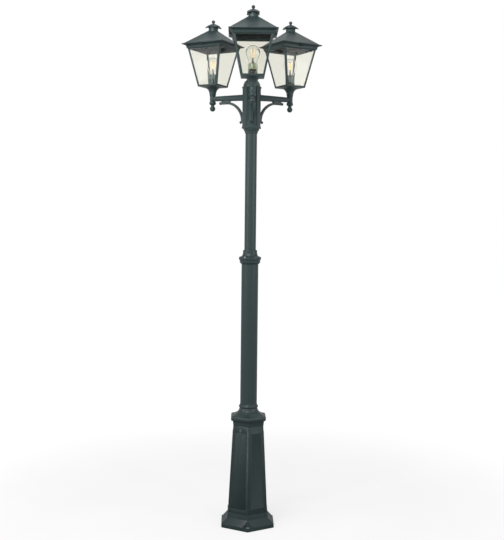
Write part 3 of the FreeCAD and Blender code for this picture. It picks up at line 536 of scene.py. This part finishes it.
HINGE_REACH = 9 * MM
BARREL_END = 0.15 * MM      # of the lid's hinge barrel, from the hinge's middle
BARREL_MISS = 0.01 * MM
BARREL_ROOM = 0.12 * MM
LOOKS_IN = -0.1             # how far a face turns to the lantern's axis, and down, before it is inside
LOOKS_DOWN = -0.9


def hinge_point(place):
    joints = frame["record"]["behaviour"]["joints"]
    return next(Vector(joint["pos_m"]) for joint in joints if joint["name"] == "lid_hinge_" + place)


def freed_barrel(roof, place):
    """Draws the end of the lid's hinge barrel back a little from the cornice that it turns against."""
    direction = lantern_axis(place)[1]
    arm = Vector((math.cos(direction), math.sin(direction), 0.0))
    hinge = hinge_point(place)
    for corner in roof.data.vertices:
        offset = corner.co - hinge
        if offset.length < HINGE_REACH and abs(offset.dot(arm) + BARREL_END) < BARREL_MISS:
            corner.co -= arm * BARREL_ROOM


def darker_inside(casting, place):
    """The faces that look in are painted darker, a painted shade inside the lantern, and the faces round the
    hinge and the catch near black, a painted shade there too.
    """
    for coat in ("inside", "hinge"):
        casting.data.materials.append(finishes[coat].owner)
    axis = lantern_axis(place)[0]
    hinge = hinge_point(place)
    catch = Vector((2 * axis.x - hinge.x, 2 * axis.y - hinge.y, hinge.z))
    for face in casting.data.polygons:
        outward = (face.center - axis).xy
        if face.normal.xy.dot(outward) < LOOKS_IN * outward.length or face.normal.z < LOOKS_DOWN:
            face.material_index = INSIDE_SLOT
        if min((face.center - hinge).length, (face.center - catch).length) < HINGE_REACH:
            face.material_index = HINGE_SHADE_SLOT


for node, radius in BASE_CASTINGS.items():
    casting = rounded_copy(node, radius * MM, "casting", "edge")
    if node == "base_flange":
        lit_anchor_holes(casting)
for stem, radius in LANTERN_CASTINGS.items():
    for place in PLACES:
        casting = rounded_copy(stem + "_" + place, radius * MM, "casting", "edge")
        if stem in ("cornice", "roof"):
            darker_inside(casting, place)
        if stem == "roof":
            freed_barrel(casting, place)


# --- lamp: stem with its wires and strips ------------------------------------------------------------

LAMP_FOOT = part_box("lamp_globe_front")[0].z
STEM_PROFILE = [(0, 0), (8.5, 0), (8.4, 1.2), (6.2, 5.0), (4.6, 10.0), (3.9, 15.0), (3.7, 20.0), (3.2, 23.5),
                (2.0, 25.0), (1.1, 27.0), (0.9, 32.0), (0.9, 60.5), (1.5, 61.5), (1.5, 62.5), (0.9, 63.0),
                (0, 63.0)]  # radius and height in millimetres
PINCH_HEIGHT = 22 * MM
PINCH_REACH = 1.4 * MM
STRIP_LOW = 28 * MM
STRIP_HIGH = 60 * MM
STRIP_LOW_REACH = 2.4 * MM
STRIP_HIGH_REACH = 7.0 * MM
STRIP_WIDTH = 2.8 * MM
STRIP_COUNT = 4
STRIP_ANGLES = [2 * math.pi * (number + 0.5) / STRIP_COUNT for number in range(STRIP_COUNT)]
WIRE_IN_STRIP = 1.5 * MM    # length of wire inside a strip's end
HOOK_RISE = 1.6 * MM        # of the upper wires over the strips
SPOKE_RISE = 1.9 * MM
SPOKE_START = 0.5 * MM
WIRE_RADIUS = 0.35 * MM
LEAD_RADIUS = 0.6 * MM


def lamp_stem():
    """Flared glass foot, drawn in to a pinch, with a thin mast on it."""
    profile = [(radius * MM, LAMP_FOOT + height * MM) for radius, height in STEM_PROFILE]
    stem = spun("lamp_stem", profile, 32)
    return smooth(stem, 60)


def strip_point(angle, reach, height):
    return Vector((reach * math.cos(angle), reach * math.sin(angle), LAMP_FOOT + height))


def filament_strip(angle):
    """One coated strip, leaning out from its foot to its head."""
    low = strip_point(angle, STRIP_LOW_REACH, STRIP_LOW)
    high = strip_point(angle, STRIP_HIGH_REACH, STRIP_HIGH)
    lean = math.atan2(STRIP_HIGH_REACH - STRIP_LOW_REACH, STRIP_HIGH - STRIP_LOW)
    strip = started("strip", bpy.ops.mesh.primitive_cube_add, size=1.0)
    strip.scale = (STRIP_WIDTH * 0.6, STRIP_WIDTH, (high - low).length)
    settled(strip)
    with editing(strip, "EDGE"):
        bpy.ops.mesh.bevel(offset=STRIP_WIDTH * 0.22, segments=3)
    strip.matrix_world = (Matrix.Translation((low + high) / 2) @ Matrix.Rotation(angle, 4, "Z")
                          @ Matrix.Rotation(lean, 4, "Y"))
    return settled(strip)


def filament_wires():
    """Wires that hold the strips: hooks and spokes at the mast's head, and leads from the pinch."""
    pieces = []
    for angle in STRIP_ANGLES:
        head = strip_point(angle, STRIP_HIGH_REACH, STRIP_HIGH - WIRE_IN_STRIP)
        hook = strip_point(angle, STRIP_HIGH_REACH, STRIP_HIGH + HOOK_RISE)
        mast = strip_point(angle, SPOKE_START, STRIP_HIGH + SPOKE_RISE)
        foot = strip_point(angle, STRIP_LOW_REACH, STRIP_LOW + WIRE_IN_STRIP)
        pinch = strip_point(angle, PINCH_REACH, PINCH_HEIGHT)
        pieces += [wire(head, hook, WIRE_RADIUS), wire(mast, hook, WIRE_RADIUS), wire(pinch, foot, LEAD_RADIUS)]
    return joined("lamp_wires", pieces)


on_each_lantern(lamp_stem(), "lamp", "lamp_filament", "lamp_glass", "stem")
strips = [filament_strip(angle) for angle in STRIP_ANGLES]
on_each_lantern(smooth(joined("lamp_strips", strips)), "lamp", "lamp_filament", "filament", "strip")
on_each_lantern(smooth(filament_wires()), "lamp", "lamp_filament", "steel", "wire")


# --- lampholder: black core, screw shell and glass sleeve --------------------------------------------

holder_low, holder_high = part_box("lampholder_front")
HOLDER_FOOT = holder_low.z
HOLDER_TOP = holder_high.z
HOLDER_RADIUS = (holder_high.x - holder_low.x) / 2 - 1 * MM
CORE_HEIGHT = 29 * MM
SOCKET_FLOOR = 22 * MM
SHELL_RADIUS = 14.6 * MM
SHELL_WALL = 0.5 * MM
THREAD_PITCH = 3.6 * MM
THREAD_DEPTH = 0.4 * MM
THREAD_STEPS = 8            # corners of one thread's section
CORE_RIBS = 12
RIB_DEPTH = 1.6 * MM
RIB_WIDTH = 2.0 * MM
RIB_SHORTER = 7.0 * MM      # than the core
RIB_RISE = 0.5 * MM
RIM_HEIGHT = 1.8 * MM
RIM_REACH_IN = 0.9 * MM


def holder_core():
    """Moulded core with an open socket and upright ribs round its side."""
    radius = HOLDER_RADIUS - 1.0 * MM
    bore = SHELL_RADIUS - 1.0 * MM
    profile = [(0, 0), (HOLDER_RADIUS + 1 * MM, 0), (HOLDER_RADIUS + 1 * MM, 2.6 * MM),
               (HOLDER_RADIUS, 3.4 * MM), (radius, 4.2 * MM), (radius, CORE_HEIGHT - 3.0 * MM),
               (HOLDER_RADIUS, CORE_HEIGHT - 2.6 * MM), (HOLDER_RADIUS, CORE_HEIGHT - 0.6 * MM),
               (HOLDER_RADIUS - 0.6 * MM, CORE_HEIGHT), (bore, CORE_HEIGHT),
               (bore, SOCKET_FLOOR + 1 * MM), (bore - 1 * MM, SOCKET_FLOOR), (0, SOCKET_FLOOR)]
    core = spun("holder_core", [(reach, HOLDER_FOOT + height) for reach, height in profile])
    ribs = []
    for number in range(CORE_RIBS):
        rib = started("rib", bpy.ops.mesh.primitive_cube_add, size=1.0)
        rib.scale = (RIB_DEPTH, RIB_WIDTH, CORE_HEIGHT - RIB_SHORTER)
        rib.location = (radius, 0.0, HOLDER_FOOT + CORE_HEIGHT / 2 + RIB_RISE)
        settled(rib)
        with editing(rib, "EDGE"):
            bpy.ops.mesh.bevel(offset=0.4 * MM, segments=2)
        rib.matrix_world = Matrix.Rotation(2 * math.pi * number / CORE_RIBS, 4, "Z")
        ribs.append(settled(rib))
    return smooth(joined("holder_core", [core] + ribs), 35)


def holder_shell():
    """Rolled screw shell with a turned-out rim."""
    turns = int((HOLDER_TOP - HOLDER_FOOT - SOCKET_FLOOR - 2 * MM) / THREAD_PITCH)
    middle = SHELL_RADIUS - SHELL_WALL - THREAD_DEPTH / 2
    shell = started("holder_shell", bpy.ops.mesh.primitive_plane_add, size=MM)
    start = HOLDER_TOP - (turns + 1) * THREAD_PITCH - 0.9 * MM
    with editing(shell):
        bpy.ops.mesh.merge(type="CENTER")
        bpy.ops.transform.translate(value=(middle + THREAD_DEPTH / 2, 0.0, start))
        for step in range(THREAD_STEPS):
            here, there = (THREAD_DEPTH / 2 * math.cos(2 * math.pi * at / THREAD_STEPS)
                           for at in (step, step + 1))
            bpy.ops.mesh.extrude_region_move(
                TRANSFORM_OT_translate={"value": (there - here, 0.0, THREAD_PITCH / THREAD_STEPS)})
    modified(shell, "SCREW", axis="Z", angle=2 * math.pi, screw_offset=THREAD_PITCH, iterations=turns,
             steps=40, render_steps=40, use_merge_vertices=True, merge_threshold=WELD)
    with editing(shell):
        bpy.ops.mesh.remove_doubles(threshold=WELD)
        bpy.ops.mesh.normals_make_consistent(inside=False)
    modified(shell, "SOLIDIFY", thickness=SHELL_WALL, offset=1.0)
    top = HOLDER_TOP
    low = top - RIM_HEIGHT
    inner = SHELL_RADIUS - RIM_REACH_IN
    rim = spun("rim", [(inner, low), (SHELL_RADIUS - 0.2 * MM, low), (SHELL_RADIUS, top - 1.2 * MM),
                       (SHELL_RADIUS, top - 0.5 * MM), (SHELL_RADIUS - 0.3 * MM, top), (inner, top),
                       (inner, low)])
    return smooth(joined("holder_shell", [shell, rim]), 50)


on_each_lantern(holder_core(), "post", "lampholder", "holder", "holder")
on_each_lantern(holder_shell(), "post", "lampholder", "lamp_cap", "cap_metal")
for place in PLACES:
    # The side lanterns' sleeves are a darker, clouded copy of the sleeve glass, a painted shade.
    glass = "sleeve" if place == "front" else "sleeve_shaded"
    rounded_copy("holder_sleeve_" + place, 0.9 * MM, glass, glass, 60.0, 3)


# --- screws, lock and wiring box ---------------------------------------------------------------------

SCREW_DIRECTIONS = (-120.0, 0.0, 120.0)
SCREW_SHORT = 0.1 * MM      # of the upper pole
KEY_RADIUS = 1.75 * MM
KEY_DEPTH = 3 * MM


def socket_screws():
    """Set screws with a hexagon socket, in place of the plain ones."""
    pieces = []
    low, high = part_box("collar_screws")
    height = (low.z + high.z) / 2
    radius = (high.z - low.z) / 2
    reach = high.x
    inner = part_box("upper_pole")[1].x + SCREW_SHORT
    for direction in SCREW_DIRECTIONS:
        screw = started("screw", bpy.ops.mesh.primitive_cylinder_add, vertices=32, radius=radius,
                        depth=reach - inner)
        with editing(screw, "EDGE"):
            bpy.ops.mesh.bevel(offset=0.35 * MM, segments=2)
        cutter = started("cutter", bpy.ops.mesh.primitive_cylinder_add, vertices=6, radius=KEY_RADIUS,
                         depth=2 * KEY_DEPTH, location=(0, 0, (reach - inner) / 2))
        modified(screw, "BOOLEAN", operation="DIFFERENCE", object=cutter, solver="EXACT")
        bpy.data.objects.remove(cutter)
        screw.matrix_world = (Matrix.Rotation(math.radians(direction), 4, "Z")
                              @ Matrix.Translation(((reach + inner) / 2, 0, height))
                              @ Matrix.Rotation(math.pi / 2, 4, "Y"))
        pieces.append(settled(screw))
    screws = smooth(joined("socket_screws", pieces), 30)
    finished(screws, "zinc")
    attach(screws, "post")
    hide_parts("collar_screws")


socket_screws()
rounded_copy("door_lock", 0.3 * MM, "lock", "lock")
rounded_copy("terminal_box", 1.5 * MM, "box", "box")


# --- CAD pieces that keep their own shape ------------------------------------------------------------

KEPT = {"lower_pole": "tube", "upper_pole": "tube", "pole_spacer": "zinc", "arm_nuts": "zinc",
        "hinge_pins": "zinc", "drop_finial": "casting", "roof_finial": "casting", "glass_panes": "pane",
        "lamp_globe": "globe", "lamp_cap": "cap_metal"}
for stem, coat in KEPT.items():
    for node in [stem] + [stem + "_" + place for place in PLACES]:
        if node in frame["nodes"]:
            finished(frame["nodes"][node], coat)
# The front lantern's panes get the darker copy of the pane glass, a painted shade.
finished(frame["nodes"]["glass_panes_front"], "pane_front")


# --- floor, background and light ---------------------------------------------------------------------

def seen_directly(finish, *rays):
    """1 for what these rays meet, and 0 for the light that falls on things."""
    kinds = [finish.node("ShaderNodeLightPath", output=name) for name in rays]
    return finish.node("ShaderNodeClamp", inputs={0: sum(kinds[1:], kinds[0])})


def pale_floor():
    """Pale floor that keeps the post's shadow and goes over into the white behind it."""
    floor = started("floor", bpy.ops.mesh.primitive_plane_add, size=FLOOR_SIZE, location=(0, 0, -FLOOR_DROP))
    pale = new_finish("pale_floor")
    grain = pale.between(pale.noise(FLOOR_CLOUDS, 3.0), *SOFT)
    away = pale.node("ShaderNodeVectorMath", {"operation": "LENGTH"}, {0: pale.place()}, output=1)
    seen = seen_directly(pale, "Is Camera Ray", "Is Transmission Ray")
    seen_glow = pale.between(away, *SEEN_REACH, *SEEN_GLOW)
    mirrored_glow = pale.between(away, *MIRRORED_REACH, *MIRRORED_GLOW)
    glow = seen * seen_glow + (1.0 - seen) * mirrored_glow
    near = pale.mix(grain, *map(grey, FLOOR_GREYS))
    pale.set(
        Base_Color=pale.mix(pale.between(away, *FLOOR_PALER), near, grey(FLOOR_FAR)),
        Roughness=0.9,
        Specular_IOR_Level=0.0,
        Emission_Color=pale.mix(glow, grey(0.0), grey(1.0)),
        Emission_Strength=1.0,
    )
    floor.data.materials.append(pale.owner)


def white_surroundings():
    """White behind the post; what lights it and what it mirrors is dimmer, and dimmest overhead."""
    world = bpy.data.worlds.new("studio")
    bpy.context.scene.world = world
    studio = Finish(world)
    back = world.node_tree.nodes["Background"]
    way = studio.node("ShaderNodeTexCoord", output="Generated")
    height = studio.node("ShaderNodeSeparateXYZ", inputs={0: way}, output=2)
    overhead = studio.between(height, 0.0, 1.0)
    light = studio.mix(overhead, *map(grey, ROOM_LIGHT))
    mirrored = studio.mix(overhead, *map(grey, ROOM_MIRRORED))
    light = studio.mix(seen_directly(studio, "Is Glossy Ray"), light, mirrored)
    seen = seen_directly(studio, "Is Camera Ray", "Is Transmission Ray")
    studio.feed(back.inputs["Color"], studio.mix(seen, light, grey(1.0)))


def softbox(name, place, size, power):
    lamp = bpy.data.lights.new(name, "AREA")
    lamp.shape = "RECTANGLE"
    lamp.size, lamp.size_y = size
    lamp.energy = power
    box = bpy.data.objects.new(name, lamp)
    bpy.context.scene.collection.objects.link(box)
    box.location = place
    box.rotation_euler = (Vector(LIGHTS_AIM) - Vector(place)).to_track_quat("-Z", "Y").to_euler()


def photograph_camera():
    camera = bpy.data.objects.new("camera", bpy.data.cameras.new("camera"))
    bpy.context.scene.collection.objects.link(camera)
    camera.location = (-CAMERA_REACH * math.sin(CAMERA_TURN), -CAMERA_REACH * math.cos(CAMERA_TURN),
                       CAMERA_HEIGHT)
    camera.rotation_euler = (Matrix.Rotation(-CAMERA_TURN, 3, "Z")
                             @ Matrix.Rotation(math.pi / 2 - CAMERA_PITCH, 3, "X")
                             @ Matrix.Rotation(CAMERA_ROLL, 3, "Z")).to_euler()
    camera.data.lens = CAMERA_LENS
    camera.data.sensor_width = 36.0
    camera.data.shift_x, camera.data.shift_y = CAMERA_SHIFT
    bpy.context.scene.camera = camera


pale_floor()
white_surroundings()
softbox("left_softbox", (-3.0, -1.6, 1.85), (1.5, 1.0), 20.0)
softbox("right_softbox", (3.0, -1.6, 1.85), (1.5, 1.0), 19.0)
softbox("front_softbox", (-1.1, -2.1, 3.1), (1.6, 1.0), 46.0)
softbox("high_softbox", (1.5, -2.4, 4.2), (0.6, 0.6), 10.0)
softbox("back_softbox", (0.5, 1.6, 4.4), (3.0, 1.6), 11.0)
photograph_camera()
bpy.context.scene.view_settings.view_transform = "Standard"
